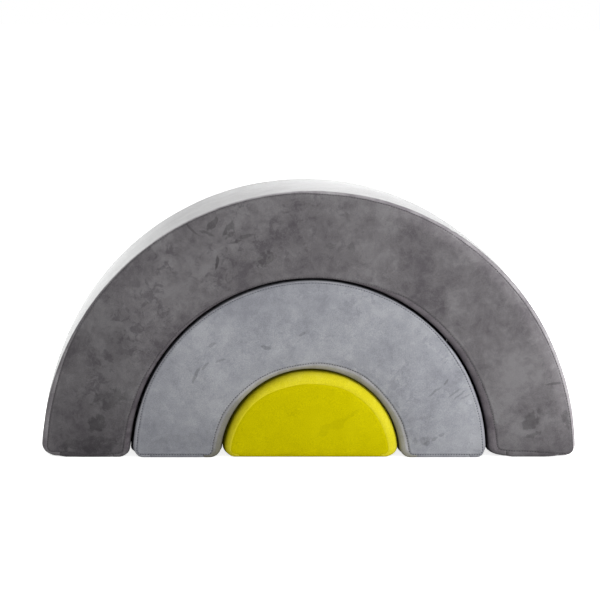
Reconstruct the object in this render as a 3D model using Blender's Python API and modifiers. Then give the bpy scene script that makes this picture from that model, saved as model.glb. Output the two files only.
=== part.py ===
"""Nested foam play set: a large arch, a smaller arch under it and a half moon under that.

Each piece is a block of foam in a sewn velour cover that comes off through a zip at the back.
Metres, +Z up, the front faces look along -Y. The origin is on the floor, in the middle of the set.
"""

import math
from collections import namedtuple

import bmesh
import bpy

# The set, seen from the front: three rings of one half disc, with a little air between them
OUTER_RADIUS = 0.600
OUTER_WIDE = 0.195
MIDDLE_WIDE = 0.197
NEST_GAP = 0.006
OUTER_HOLLOW = OUTER_RADIUS - OUTER_WIDE
MIDDLE_RADIUS = OUTER_HOLLOW - NEST_GAP
MIDDLE_HOLLOW = MIDDLE_RADIUS - MIDDLE_WIDE
MOON_RADIUS = MIDDLE_HOLLOW - NEST_GAP
DEPTH = 0.300
FOOT_CORNER = 0.032

# Each piece stands a little further forward than the one around it
STEP_FORWARD = 0.005

# How far the seams of the faces lie inside the silhouette, and how deep the edge rounds over
SEAM_OUTER = 0.008
SEAM_HOLLOW = 0.015
SEAM_FOOT = 0.011
EDGE_DEPTH = 0.012
MOON_SEAM = 0.026
MOON_SEAM_FOOT = 0.009
MOON_EDGE_DEPTH = 0.028

# Velour panels: their thickness, the swelling of the faces, and the lines that part them
VELOUR = 0.0015
FACE_CROWN = 0.003
CROWN_RUN = 0.100
MOON_FACE_CENTRE = 0.40
SEAM_CORNER = 0.001
SEAM_GAP = 0.001
LIP_SHARE = 0.88
FOOT_TURN = 0.002

# Foam: how far its surface lies inside the velour's, and how much rounder its edges are
CLEARANCE = 0.0003
FOAM_SUNK = VELOUR + 2 * CLEARANCE
FOAM_ROUNDER = 0.002

# Zip: tapes, coil and stops, with heights measured from the upper side of the tapes
ZIP_SUNK = 0.0028
TAPE_PLANE = DEPTH / 2 - FACE_CROWN - ZIP_SUNK
TAPE_THICK = 0.0006
TAPE_REACH = 0.0085
COIL_REACH = 0.0028
COIL_SPLIT = 0.0009
COIL_HIGH = 0.0024
STOP_LONG = 0.003
STOP_HIGH = 0.0012

# The slit in the back panel and the groove in the foam that take the zip
SLIT_REACH = 0.0050
GROOVE_REACH = 0.0095
GROOVE_DEPTH = 0.0055
GROOVE_TAIL = 0.014
CUT_ABOVE = 0.020
CUT_BELOW = 0.010

# Slider: a channel with cheeks over the coil, a post between its halves and a keel under them
SLIDER_LONG = 0.010
PLATE_LOW = 0.0028
PLATE_HIGH = 0.0038
CHEEK_OUTSIDE = 0.0042
CHEEK_INSIDE = 0.0034
CHEEK_FOOT = 0.0006
POST_HALF = 0.00035
KEEL_HALF = 0.0040
KEEL_TOP = -0.0010
KEEL_FOOT = -0.0020

# The bridge on the slider and the eye of the pull that it holds
PIVOT_HIGH = 0.0045
BRIDGE_TOP = 0.0059
BRIDGE_HALF = 0.0010
BRIDGE_HALF_LONG = 0.0031
BRIDGE_ROOT = 0.0035
TUNNEL_LOW = 0.0039
TUNNEL_TOP = 0.0051
TUNNEL_HALF = 0.0020
TUNNEL_HALF_LONG = 0.0019
PULL_LONG = 0.0240
PULL_WIDE = 0.0064
PULL_THICK = 0.0008
PULL_NECK_HALF = 0.0022
PULL_SHOULDER = 0.0030
EYE_BAR_HALF = 0.0004
EYE_HALF = 0.0013
EYE_END = 0.0040

# The arch zips run from near one foot to near the other, and the moon's straight above its base
ARCH_ZIP_END = math.radians(8)
MOON_ZIP_HALF = 0.130
MOON_ZIP_RISE = 0.014
SLIDER_PARK = 0.016

# Facets
OUTER_STEPS = 36
MIDDLE_STEPS = 28
MOON_STEPS = 20
ROUND_STEPS = 2
CORNER_STEPS = 3
ACROSS_STEPS = 4
MOON_RINGS = 3
TIP_STEPS = 8
WELD = 0.00001

Piece = namedtuple(
    "Piece", "name y radius hollow steps seam_outer seam_hollow seam_foot edge_depth colour"
)
OUTER = Piece(
    "outer_arch", STEP_FORWARD, OUTER_RADIUS, OUTER_HOLLOW, OUTER_STEPS,
    SEAM_OUTER, SEAM_HOLLOW, SEAM_FOOT, EDGE_DEPTH, (0.145, 0.138, 0.145),
)
MIDDLE = Piece(
    "middle_arch", 0.0, MIDDLE_RADIUS, MIDDLE_HOLLOW, MIDDLE_STEPS,
    SEAM_OUTER, SEAM_HOLLOW, SEAM_FOOT, EDGE_DEPTH, (0.305, 0.312, 0.342),
)
MOON = Piece(
    "half_moon", -STEP_FORWARD, MOON_RADIUS, None, MOON_STEPS,
    MOON_SEAM, None, MOON_SEAM_FOOT, MOON_EDGE_DEPTH, (0.545, 0.480, 0.002),
)


# Scene, collections and objects


def clear_scene():
    for obj in list(bpy.data.objects):
        bpy.data.objects.remove(obj)


def new_collection(name):
    collection = bpy.data.collections.new(name)
    bpy.context.scene.collection.children.link(collection)
    return collection


def material(name, colour, roughness, metallic=0.0):
    made = bpy.data.materials.new(name)
    made.use_nodes = True
    shader = made.node_tree.nodes["Principled BSDF"]
    shader.inputs["Base Color"].default_value = (*colour, 1.0)
    shader.inputs["Roughness"].default_value = roughness
    shader.inputs["Metallic"].default_value = metallic
    return made


def empty(name, location, parent=None):
    made = bpy.data.objects.new(name, None)
    PARTS.objects.link(made)
    made.location = location
    made.parent = parent
    return made


def add_part(name, bm, parent, finish):
    mesh = bpy.data.meshes.new(name)
    bm.to_mesh(mesh)
    bm.free()
    obj = bpy.data.objects.new(name, mesh)
    PARTS.objects.link(obj)
    obj.parent = parent
    mesh.materials.append(finish)
    mesh.shade_smooth()
    mesh.set_sharp_from_angle(angle=math.radians(40))
    return obj


def add_cutter(name, bm, parent):
    mesh = bpy.data.meshes.new(name)
    bm.to_mesh(mesh)
    bm.free()
    obj = bpy.data.objects.new(name, mesh)
    CUTTERS.objects.link(obj)
    obj.parent = parent
    obj.hide_render = True
    obj.display_type = "WIRE"
    return obj


def mirror(obj):
    half = obj.modifiers.new("other half", "MIRROR")
    half.merge_threshold = WELD


def thicken(obj):
    cloth = obj.modifiers.new("velour", "SOLIDIFY")
    cloth.thickness = VELOUR
    cloth.offset = -1.0


def combine(obj, other, operation):
    step = obj.modifiers.new(other.name, "BOOLEAN")
    step.operation = operation
    step.object = other


# The form of a piece: an outline that grows from the front seam to the band and back


def stations(piece, sunk):
    """The band from its front seam to its back seam, as (share of the seam's inset, y), for a
    surface that lies sunk below the velour's outside. A flat lip at each seam starts it."""
    seam_y = sunk - DEPTH / 2 + FACE_CROWN
    front = [(1.0, seam_y)]
    for step in range(ROUND_STEPS + 1):
        turn = math.pi / 2 * step / ROUND_STEPS
        y = seam_y + (piece.edge_depth - sunk) * (1 - math.cos(turn))
        front.append((LIP_SHARE * (1 - math.sin(turn)), y))
    return front + [(share, -y) for share, y in reversed(front)]


def inset(seam, sunk, share):
    """How far a station lies inside the silhouette of its side."""
    return sunk + (seam - sunk) * share


def on_circle(radius, angle):
    """The x and z of a point at an angle about the middle of the set."""
    return radius * math.cos(angle), radius * math.sin(angle)


def arc(centre, radius, start, end, steps):
    """Points of an arc in the XZ plane, from the angle start to the angle end."""
    points = []
    for step in range(steps + 1):
        x, z = on_circle(radius, start + (end - start) * step / steps)
        points.append((centre[0] + x, centre[1] + z))
    return points


def foot_line(start, end, height, steps):
    """Points along an arch's foot, evenly spaced in their distance from the arch's middle, so
    that they meet the rings of its faces."""
    far, near = math.hypot(start, height), math.hypot(end, height)
    points = []
    for step in range(steps + 1):
        reach = far + (near - far) * step / steps
        points.append((math.sqrt(max(0.0, reach**2 - height**2)), height))
    return points


def foot_span(piece):
    """The flat of a foot, between its rounded corners, as its far and near x."""
    far = math.sqrt((piece.radius - FOOT_CORNER) ** 2 - FOOT_CORNER**2) - FOOT_TURN
    if piece.hollow is None:
        return far, 0.0
    return far, math.sqrt((piece.hollow + FOOT_CORNER) ** 2 - FOOT_CORNER**2) + FOOT_TURN


def outline(piece, station, sunk, seam_corner, gap):
    """Half of the outline at a station, on the right of the middle plane, in three runs: down
    the outer side and round its corner, along the foot, and round up the hollow side. The
    corner is seam_corner at the seam and grows to the foot's own. With a gap, the runs part
    where the flat of the foot begins."""
    share = station[0]
    radius = piece.radius - inset(piece.seam_outer, sunk, share)
    base = inset(piece.seam_foot, sunk, share)
    corner = seam_corner + (FOOT_CORNER - sunk - seam_corner) * (1 - share) ** 2
    rise = base + corner
    down = -math.pi / 2

    centre = (math.sqrt((radius - corner) ** 2 - rise**2), rise)
    touch = math.asin(rise / (radius - corner))
    outer = arc((0, 0), radius, math.pi / 2, touch, piece.steps // 2)
    outer += arc(centre, corner, touch, down, CORNER_STEPS)[1:]
    far, near = centre[0], 0.0
    inner = []
    if piece.hollow is not None:
        hollow = piece.hollow + inset(piece.seam_hollow, sunk, share)
        inner_centre = (math.sqrt((hollow + corner) ** 2 - rise**2), rise)
        touch = math.asin(rise / (hollow + corner))
        inner = arc(inner_centre, corner, down, touch - math.pi, CORNER_STEPS)
        inner += arc((0, 0), hollow, touch, math.pi / 2, piece.steps // 2)[1:]
        near = inner_centre[0]
    if gap:
        far, near = foot_span(piece)
        outer.append((far, base))
        far -= gap
        if inner:
            inner.insert(0, (near, base))
            near += gap
    if piece.hollow is None:
        foot = [(far * (1 - step / ACROSS_STEPS), base) for step in range(ACROSS_STEPS + 1)]
    else:
        foot = foot_line(far, near, base, ACROSS_STEPS)
    return outer, foot, inner


def crown_rise(share, run):
    """The face's swelling: nothing at its long edges, full in the middle, fading at the foot."""
    near = min(1.0, run / CROWN_RUN)
    return FACE_CROWN * 4 * share * (1 - share) * near * (2 - near)


def arch_face_point(piece, i, j, sunk, gap, back):
    """A corner of an arch's face grid: i counts from the top to the foot, j across the ring."""
    share = j / ACROSS_STEPS
    low = piece.hollow + piece.seam_hollow + gap
    high = piece.radius - piece.seam_outer - gap
    base = piece.seam_foot + gap
    radius = low + (high - low) * share
    foot_angle = math.asin(base / radius)
    angle = math.pi / 2 + (foot_angle - math.pi / 2) * i / (piece.steps // 2)
    y = DEPTH / 2 - FACE_CROWN - sunk + crown_rise(share, radius * (angle - foot_angle))
    x, z = on_circle(radius, angle)
    return (x, y if back else -y, z)


def moon_face_point(piece, points, i, j, sunk, back):
    """A corner of the moon's face grid: i along its outline, j out from the middle."""
    share = j / MOON_RINGS
    middle = MOON_FACE_CENTRE * piece.radius
    x, z = points[i]
    y = DEPTH / 2 - FACE_CROWN - sunk + FACE_CROWN * (1 - share**2)
    return (x * share, y if back else -y, middle + (z - middle) * share)


def bent_grid(bm, along, across, place):
    """A flat grid laid over a form: place(i, j) gives the point of its corner (i, j)."""
    made = bmesh.ops.create_grid(bm, x_segments=along, y_segments=across, size=0.5)
    for vert in made["verts"]:
        i = round((vert.co.x + 0.5) * along)
        j = round((vert.co.y + 0.5) * across)
        vert.co = place(i, j)


# Velour panels


def face_panel(piece, back, parent, finish):
    """The flat front or back of a cover, cut a seam's gap inside the edge of the bands."""
    bm = bmesh.new()
    if piece.hollow is None:
        first = stations(piece, 0.0)[0]
        grown = piece._replace(
            seam_outer=piece.seam_outer + SEAM_GAP, seam_foot=piece.seam_foot + SEAM_GAP
        )
        outer, foot, _ = outline(grown, first, 0.0, SEAM_CORNER, 0.0)
        points = outer + foot[1:]
        along, across = len(points) - 1, MOON_RINGS

        def place(i, j):
            return moon_face_point(piece, points, i, across - j if back else j, 0.0, back)
    else:
        along, across = piece.steps // 2, ACROSS_STEPS

        def place(i, j):
            return arch_face_point(piece, i, across - j if back else j, 0.0, SEAM_GAP, back)

    bent_grid(bm, along, across, place)
    bmesh.ops.remove_doubles(bm, verts=bm.verts, dist=WELD)
    bmesh.ops.dissolve_degenerate(bm, dist=WELD, edges=bm.edges)
    side = "back" if back else "front"
    obj = add_part(f"{piece.name}_{side}_panel", bm, parent, finish)
    mirror(obj)
    thicken(obj)
    return obj


def run_panel(piece, name, run, parent, finish, side=1):
    """A band or a foot panel: one run of the outline, taken from the front seam to the back."""
    rows = []
    for station in stations(piece, 0.0):
        points = outline(piece, station, 0.0, SEAM_CORNER, SEAM_GAP)[run]
        rows.append([(side * x, station[1], z) for x, z in points])
    bm = bmesh.new()
    bent_grid(bm, len(rows[0]) - 1, len(rows) - 1, lambda i, j: rows[j][i])
    if side < 0:
        bmesh.ops.reverse_faces(bm, faces=bm.faces)
    return add_part(f"{piece.name}_{name}", bm, parent, finish)


def band(piece, name, run, parent, finish):
    obj = run_panel(piece, name, run, parent, finish)
    mirror(obj)
    thicken(obj)


def foot_panels(piece, parent, finish):
    for name, side in (("left_foot_panel", -1), ("right_foot_panel", 1)):
        thicken(run_panel(piece, name, 1, parent, finish, side))


# Foam


def foam_core(piece, groove, parent, finish):
    """The foam block: the form of its cover, just inside it and rounder at its edges, with a
    groove for the zip."""
    piece = piece._replace(
        seam_outer=piece.seam_outer + FOAM_ROUNDER,
        seam_hollow=piece.hollow and piece.seam_hollow + FOAM_ROUNDER,
        seam_foot=piece.seam_foot + FOAM_ROUNDER,
    )
    rows = []
    levels = stations(piece, FOAM_SUNK)
    for station in levels[:1] + levels[2:-2] + levels[-1:]:
        outer, foot, inner = outline(piece, station, FOAM_SUNK, 0.0, 0.0)
        rows.append([(x, station[1], z) for x, z in outer + foot[1:] + inner[1:]])
    bm = bmesh.new()
    bent_grid(bm, len(rows[0]) - 1, len(rows) - 1, lambda i, j: rows[j][i])
    for back in (False, True):
        if piece.hollow is None:
            points = [(x, z) for x, _, z in rows[0]]
            bent_grid(
                bm, len(points) - 1, MOON_RINGS,
                lambda i, j: moon_face_point(
                    piece, points, i, MOON_RINGS - j if back else j, FOAM_SUNK, back
                ),
            )
        else:
            bent_grid(
                bm, piece.steps // 2, ACROSS_STEPS,
                lambda i, j: arch_face_point(
                    piece, i, ACROSS_STEPS - j if back else j, FOAM_SUNK, 0.0, back
                ),
            )
    bmesh.ops.remove_doubles(bm, verts=bm.verts, dist=WELD)
    bmesh.ops.dissolve_degenerate(bm, dist=WELD, edges=bm.edges)
    obj = add_part(f"{piece.name}_foam_core", bm, parent, finish)
    mirror(obj)
    combine(obj, groove, "DIFFERENCE")


# Zips: an arch's lies at the back, in the seam of its hollow, and the moon's across its back


def swept(bm, piece, profile, tail=0.0):
    """A closed solid along the zip. The profile is a list of (across, height) from the zip's
    middle line and the tape's upper side, and tail lengthens it at both ends."""
    if piece.hollow is None:
        middle = piece.seam_foot + MOON_ZIP_RISE
        start = MOON_ZIP_HALF + tail
        corners = []
        for across, up in profile:
            corners.append(bm.verts.new((start, TAPE_PLANE + up, middle + across)))
        face = bm.faces.new(corners)
        moved = bmesh.ops.extrude_face_region(bm, geom=[face])
        ends = [item for item in moved["geom"] if isinstance(item, bmesh.types.BMVert)]
        bmesh.ops.translate(bm, verts=ends, vec=(-2 * start, 0, 0))
    else:
        middle = arch_zip_radius(piece)
        start = ARCH_ZIP_END - tail / middle
        corners = []
        for across, up in profile:
            x, z = on_circle(middle + across, start)
            corners.append(bm.verts.new((x, TAPE_PLANE + up, z)))
        face = bm.faces.new(corners)
        bmesh.ops.spin(
            bm, geom=[face, *face.edges, *face.verts], cent=(0, 0, 0), axis=(0, -1, 0),
            angle=math.pi - 2 * start, steps=piece.steps,
        )
    bmesh.ops.recalc_face_normals(bm, faces=bm.faces)


def arch_zip_radius(piece):
    return piece.hollow + piece.seam_hollow + SLIT_REACH


def rectangle(left, right, low, high):
    return [(left, low), (right, low), (right, high), (left, high)]


def zip_cutters(piece, parent):
    """The groove in the foam and the slit in the back panel that the zip lies in."""
    bm = bmesh.new()
    groove_floor = ZIP_SUNK - GROOVE_DEPTH
    swept(bm, piece, rectangle(-GROOVE_REACH, GROOVE_REACH, groove_floor, CUT_ABOVE), GROOVE_TAIL)
    groove = add_cutter(f"{piece.name}_zip_groove", bm, parent)
    bm = bmesh.new()
    swept(bm, piece, rectangle(-SLIT_REACH, SLIT_REACH, -CUT_BELOW, CUT_ABOVE))
    slit = add_cutter(f"{piece.name}_zip_slit", bm, parent)
    return groove, slit


def zip_tapes(piece, names, parent, finish):
    """The two tapes, each with its half of the coil woven on its edge."""
    for name, side in zip(names, (-1, 1)):
        profile = [
            (side * TAPE_REACH, -TAPE_THICK),
            (side * COIL_SPLIT, -TAPE_THICK),
            (side * COIL_SPLIT, COIL_HIGH),
            (side * COIL_REACH, COIL_HIGH),
            (side * COIL_REACH, 0.0),
            (side * TAPE_REACH, 0.0),
        ]
        bm = bmesh.new()
        swept(bm, piece, profile)
        add_part(f"{piece.name}_{name}", bm, parent, finish)


def zip_length(piece):
    if piece.hollow is None:
        return 2 * MOON_ZIP_HALF
    return arch_zip_radius(piece) * (math.pi - 2 * ARCH_ZIP_END)


def zip_frame(piece, along):
    """The point on the zip's middle line that lies along metres from its closed end, and the
    turn about Y that brings the local Z axis onto the way the zip opens."""
    if piece.hollow is None:
        return (MOON_ZIP_HALF - along, TAPE_PLANE, piece.seam_foot + MOON_ZIP_RISE), math.pi / 2
    angle = ARCH_ZIP_END + along / arch_zip_radius(piece)
    x, z = on_circle(arch_zip_radius(piece), angle)
    return (x, TAPE_PLANE, z), angle


def box(bm, low, high):
    made = bmesh.ops.create_cube(bm, size=1.0)
    for vert in made["verts"]:
        vert.co = [low[k] if vert.co[k] < 0 else high[k] for k in range(3)]


def zip_stops(piece, parent, finish):
    """A metal stop clamped across both tapes at each end of the coil."""
    ends = {"zip_closed_stop": STOP_LONG, "zip_open_stop": zip_length(piece) - STOP_LONG}
    for name, along in ends.items():
        place, angle = zip_frame(piece, along)
        bm = bmesh.new()
        box(
            bm,
            (-COIL_REACH, COIL_HIGH + CLEARANCE, -STOP_LONG / 2),
            (COIL_REACH, COIL_HIGH + STOP_HIGH, STOP_LONG / 2),
        )
        stop = add_part(f"{piece.name}_{name}", bm, parent, finish)
        stop.location = place
        stop.rotation_euler = (0, -angle, 0)


def slider_mesh(finish):
    """The slider, with the bridge on top that holds the pull. It opens the zip as it moves
    along +Z."""
    half = [
        (CHEEK_OUTSIDE, PLATE_HIGH),
        (CHEEK_OUTSIDE, CHEEK_FOOT),
        (CHEEK_INSIDE, CHEEK_FOOT),
        (CHEEK_INSIDE, PLATE_LOW),
        (POST_HALF, PLATE_LOW),
        (POST_HALF, KEEL_TOP),
        (KEEL_HALF, KEEL_TOP),
        (KEEL_HALF, KEEL_FOOT),
    ]
    profile = half + [(-x, y) for x, y in reversed(half)]
    bm = bmesh.new()
    face = bm.faces.new([bm.verts.new((x, y, -SLIDER_LONG / 2)) for x, y in profile])
    moved = bmesh.ops.extrude_face_region(bm, geom=[face])
    ends = [item for item in moved["geom"] if isinstance(item, bmesh.types.BMVert)]
    bmesh.ops.translate(bm, verts=ends, vec=(0, 0, SLIDER_LONG))
    bmesh.ops.recalc_face_normals(bm, faces=bm.faces)
    body = add_part("slider_body", bm, None, finish)

    bm = bmesh.new()
    box(
        bm,
        (-BRIDGE_HALF, BRIDGE_ROOT, -BRIDGE_HALF_LONG),
        (BRIDGE_HALF, BRIDGE_TOP, BRIDGE_HALF_LONG),
    )
    bridge = add_cutter("slider_bridge", bm, None)
    bm = bmesh.new()
    box(
        bm,
        (-TUNNEL_HALF, TUNNEL_LOW, -TUNNEL_HALF_LONG),
        (TUNNEL_HALF, TUNNEL_TOP, TUNNEL_HALF_LONG),
    )
    tunnel = add_cutter("slider_tunnel", bm, None)
    combine(body, bridge, "UNION")
    combine(body, tunnel, "DIFFERENCE")
    return bake(body, (bridge, tunnel))


def pull_mesh(finish):
    """The pull, hanging along -Z from its pivot: a plate with a round tip and an eye."""
    drawn = bpy.data.curves.new("pull_outline", "CURVE")
    drawn.dimensions = "2D"
    drawn.fill_mode = "BOTH"
    drawn.extrude = PULL_THICK / 2
    half = PULL_WIDE / 2
    rim = arc((0, half - PULL_LONG), half, 0.0, -math.pi, TIP_STEPS)
    rim += [(-half, -PULL_SHOULDER), (-PULL_NECK_HALF, EYE_BAR_HALF)]
    rim += [(PULL_NECK_HALF, EYE_BAR_HALF), (half, -PULL_SHOULDER)]
    eye = rectangle(-EYE_HALF, EYE_HALF, -EYE_END, -EYE_BAR_HALF)
    for points in (rim, eye):
        spline = drawn.splines.new("POLY")
        spline.points.add(len(points) - 1)
        spline.use_cyclic_u = True
        for point, (x, y) in zip(spline.points, points):
            point.co = (x, y, 0, 1)
    guide = bpy.data.objects.new("pull_outline", drawn)
    PARTS.objects.link(guide)
    mesh = bake(guide, ())
    bpy.data.curves.remove(drawn)
    bm = bmesh.new()
    bm.from_mesh(mesh)
    bmesh.ops.remove_doubles(bm, verts=bm.verts, dist=WELD)
    # The outline was drawn in XY, and the pull lies in XZ
    for vert in bm.verts:
        vert.co = (vert.co.x, -vert.co.z, vert.co.y)
    bm.to_mesh(mesh)
    bm.free()
    mesh.materials.clear()
    mesh.materials.append(finish)
    return mesh


def bake(obj, helpers):
    """The object's evaluated mesh, once it and its helpers have gone."""
    bpy.context.view_layer.update()
    graph = bpy.context.evaluated_depsgraph_get()
    mesh = bpy.data.meshes.new_from_object(obj.evaluated_get(graph))
    for item in (obj, *helpers):
        bpy.data.objects.remove(item)
    return mesh


def zip_slider(piece, meshes, parent):
    """The slider parked at the closed end, and its pull. An arch's slider turns about the
    arch's middle, so its parent empty stands there."""
    place, angle = zip_frame(piece, SLIDER_PARK)
    offset = (0, 0, 0)
    if piece.hollow is not None:
        place = (0, TAPE_PLANE, 0)
        offset = (arch_zip_radius(piece), 0, 0)
    run = empty(f"{piece.name}_zip_run", place, parent)
    run.rotation_euler = (0, -angle, 0)
    slider = bpy.data.objects.new(f"{piece.name}_zip_slider", meshes[0])
    pull = bpy.data.objects.new(f"{piece.name}_zip_pull", meshes[1])
    for obj in (slider, pull):
        PARTS.objects.link(obj)
    slider.parent = run
    slider.location = offset
    pull.parent = slider
    pull.location = (0, PIVOT_HIGH, 0)


# The set


def build_piece(piece, tape_names, finishes, zip_meshes):
    velour, foam, tape, metal = finishes
    parent = empty(piece.name, (0, piece.y, 0))
    groove, slit = zip_cutters(piece, parent)
    foam_core(piece, groove, parent, foam)
    face_panel(piece, False, parent, velour)
    combine(face_panel(piece, True, parent, velour), slit, "DIFFERENCE")
    if piece.hollow is None:
        band(piece, "curved_band", 0, parent, velour)
        band(piece, "base_panel", 1, parent, velour)
    else:
        band(piece, "outer_band", 0, parent, velour)
        band(piece, "inner_band", 2, parent, velour)
        foot_panels(piece, parent, velour)
    zip_tapes(piece, tape_names, parent, tape)
    zip_stops(piece, parent, metal)
    zip_slider(piece, zip_meshes, parent)


clear_scene()
PARTS = new_collection("foam_play_set")
CUTTERS = new_collection("cutters")
CUTTERS.hide_render = True

FOAM = material("upholstery foam", (0.78, 0.74, 0.60), 0.95)
METAL = material("zip metal", (0.50, 0.50, 0.51), 0.35, 1.0)
ZIP_MESHES = (slider_mesh(METAL), pull_mesh(METAL))
for PIECE, TAPES in (
    (OUTER, ("zip_inner_tape", "zip_outer_tape")),
    (MIDDLE, ("zip_inner_tape", "zip_outer_tape")),
    (MOON, ("zip_lower_tape", "zip_upper_tape")),
):
    VELOUR_FINISH = material(f"{PIECE.name} velour", PIECE.colour, 0.85)
    TAPE_FINISH = material(f"{PIECE.name} zip tape", tuple(0.8 * c for c in PIECE.colour), 0.8)
    build_piece(PIECE, TAPES, (VELOUR_FINISH, FOAM, TAPE_FINISH, METAL), ZIP_MESHES)
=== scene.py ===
"""Looks of the nested foam play set: two velour arches and a velour half moon.

Metres, +Z up, the front faces look along -Y.
"""

import math
from collections import namedtuple

import bmesh
import bpy
from mathutils import Matrix, Vector, noise


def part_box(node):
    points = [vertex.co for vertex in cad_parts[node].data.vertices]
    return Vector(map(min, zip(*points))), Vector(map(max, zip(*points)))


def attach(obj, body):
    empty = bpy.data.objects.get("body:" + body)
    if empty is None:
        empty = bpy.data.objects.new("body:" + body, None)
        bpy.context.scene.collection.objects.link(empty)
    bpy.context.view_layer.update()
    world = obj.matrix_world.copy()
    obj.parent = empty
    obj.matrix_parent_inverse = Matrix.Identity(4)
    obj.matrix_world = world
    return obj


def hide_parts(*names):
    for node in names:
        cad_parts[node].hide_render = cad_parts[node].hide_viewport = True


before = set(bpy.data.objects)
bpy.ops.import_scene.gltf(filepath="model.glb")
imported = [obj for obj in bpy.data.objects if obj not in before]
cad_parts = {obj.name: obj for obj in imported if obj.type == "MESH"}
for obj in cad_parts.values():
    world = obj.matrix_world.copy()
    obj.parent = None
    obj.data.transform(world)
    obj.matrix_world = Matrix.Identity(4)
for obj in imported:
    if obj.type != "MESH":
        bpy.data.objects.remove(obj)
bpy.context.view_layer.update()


# Outer arch, foam core
# A half ring of firm upholstery foam, wire-cut in one piece and 30 cm deep. Its edges give way
# under the tight cover, and it stays hidden inside it.

# Y is the middle of the depth. The seams of a face lie seam_outer, seam_hollow and seam_foot
# inside its outline, and its edge is round as far as edge_depth behind them. In front they
# really run by true_outer and true_hollow, by angle, and the foot rises by foot_seam and
# foot_edge, by X.
Form = namedtuple(
    "Form",
    "name y radius hollow foot_far foot_near steps seam_outer seam_hollow seam_foot edge_depth "
    "ditch ridge true_outer true_hollow foot_seam foot_edge",
    defaults=((), ()),
)

DEPTH = 0.300
FACE_CROWN = 0.003
SEAM_PLANE = DEPTH / 2 - FACE_CROWN
FOOT_CORNER = 0.025
SEAM_CORNER = 0.012
CORNER_STEPS = 9
FOAM_SUNK = 0.0042
FOAM_CORNER = 0.016
ZIP_ROOM = 0.0030
FOAM_BENDS = (0, 20, 45, 70, 90)
FOAM_COLOUR = (0.74, 0.69, 0.55)
CELL_SIZE = 0.0016
FLAT_IN = 0.003
FLAT_STEPS = 3


def form_of(name, band, flat, seam_hollow=None, **details):
    """A piece's form, with its size from its CAD band and from the flat under its foot. The
    half moon has no hollow."""
    band_low, band_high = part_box(f"{name}_{band}")
    flat_low, flat_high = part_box(f"{name}_{flat}")
    hollow, foot_near = None, None
    if seam_hollow:
        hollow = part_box(f"{name}_inner_band")[1].z - seam_hollow
        foot_near = flat_low.x + FLAT_IN
    return Form(
        name=name, y=(band_low.y + band_high.y) / 2, radius=band_high.z, hollow=hollow,
        foot_far=flat_high.x - FLAT_IN, foot_near=foot_near, seam_hollow=seam_hollow, **details
    )


outer = form_of(
    "outer_arch", "outer_band", "right_foot_panel", steps=96, seam_outer=0.008,
    seam_hollow=0.015, seam_foot=0.008, edge_depth=0.008, ditch=0.0005, ridge=1.0,
    true_outer=(
        (0, 0.0055), (14, 0.0078), (50, 0.0082), (66, 0.0060), (85, 0.0060), (97, 0.0032),
        (130, 0.0022), (150, 0.0045), (168, 0.0104), (180, 0.0115),
    ),
    true_hollow=(
        (0, 0.0160), (30, 0.0127), (60, 0.0125), (66, 0.0080), (80, 0.0026), (90, 0.0018),
        (110, 0.0026), (140, 0.0066), (163, 0.0108), (172, 0.0128), (180, 0.0145),
    ),
    foot_seam=(
        (-0.600, 0.0050), (-0.588, 0.0050), (-0.546, 0.0040), (-0.503, -0.0040),
        (-0.405, 0.0010), (0.405, 0.0090), (0.425, 0.0090), (0.455, 0.0060), (0.475, 0.0060),
        (0.577, 0.0), (0.600, 0.0),
    ),
    foot_edge=(
        (-0.600, 0.0090), (-0.588, 0.0090), (-0.567, 0.0040), (-0.545, 0.0), (-0.405, 0.0),
        (0.405, 0.0085), (0.425, 0.0075), (0.440, 0.0035), (0.458, 0.0), (0.530, 0.0),
        (0.577, 0.0050), (0.600, 0.0060),
    ),
)


def arc(centre, radius, start, end, steps):
    """Points of an arc in the XZ plane, without its first one."""
    points = []
    for step in range(1, steps + 1):
        angle = start + (end - start) * step / steps
        points.append((centre[0] + radius * math.cos(angle), centre[1] + radius * math.sin(angle)))
    return points


def line(start, end, steps):
    """Points of a straight line in the XZ plane, without its first one."""
    points = []
    for step in range(1, steps + 1):
        t = step / steps
        points.append((start[0] + (end[0] - start[0]) * t, start[1] + (end[1] - start[1]) * t))
    return points


def outline(form, share, sunk=0.0, tighter=0.0):
    """Right half of the outline, where share is how far it is drawn in to the seams, in three
    runs: down the outside and round the corner, along the foot, and round the inner corner and
    up the hollow. The half moon has no hollow, so its foot runs to the middle. Tighter takes
    something off the corners' radius."""
    radius = form.radius - sunk - (form.seam_outer - sunk) * share
    base = sunk + (form.seam_foot - sunk) * share
    corner = SEAM_CORNER + (FOOT_CORNER - sunk - SEAM_CORNER) * (1 - share) - tighter
    rise = base + corner
    down = -math.pi / 2
    foot_steps = form.steps // 6

    centre = (math.sqrt((radius - corner) ** 2 - rise**2), rise)
    touch = math.asin(rise / (radius - corner))
    outside = [(0.0, radius)]
    outside += arc((0, 0), radius, math.pi / 2, touch, form.steps)
    outside += arc(centre, corner, touch, down, CORNER_STEPS)
    outside += line(outside[-1], (form.foot_far, base), FLAT_STEPS)
    if form.hollow is None:
        return outside, [outside[-1]] + line(outside[-1], (0.0, base), 3 * foot_steps), []

    hollow = form.hollow + sunk + (form.seam_hollow - sunk) * share
    centre = (math.sqrt((hollow + corner) ** 2 - rise**2), rise)
    touch = math.asin(rise / (hollow + corner))
    inside = [(form.foot_near, base)]
    inside += line(inside[0], (centre[0], base), FLAT_STEPS)
    inside += arc(centre, corner, down, touch - math.pi, CORNER_STEPS)
    inside += arc((0, 0), hollow, touch, math.pi / 2, form.steps)
    return outside, [outside[-1]] + line(outside[-1], inside[0], foot_steps), inside


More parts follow.
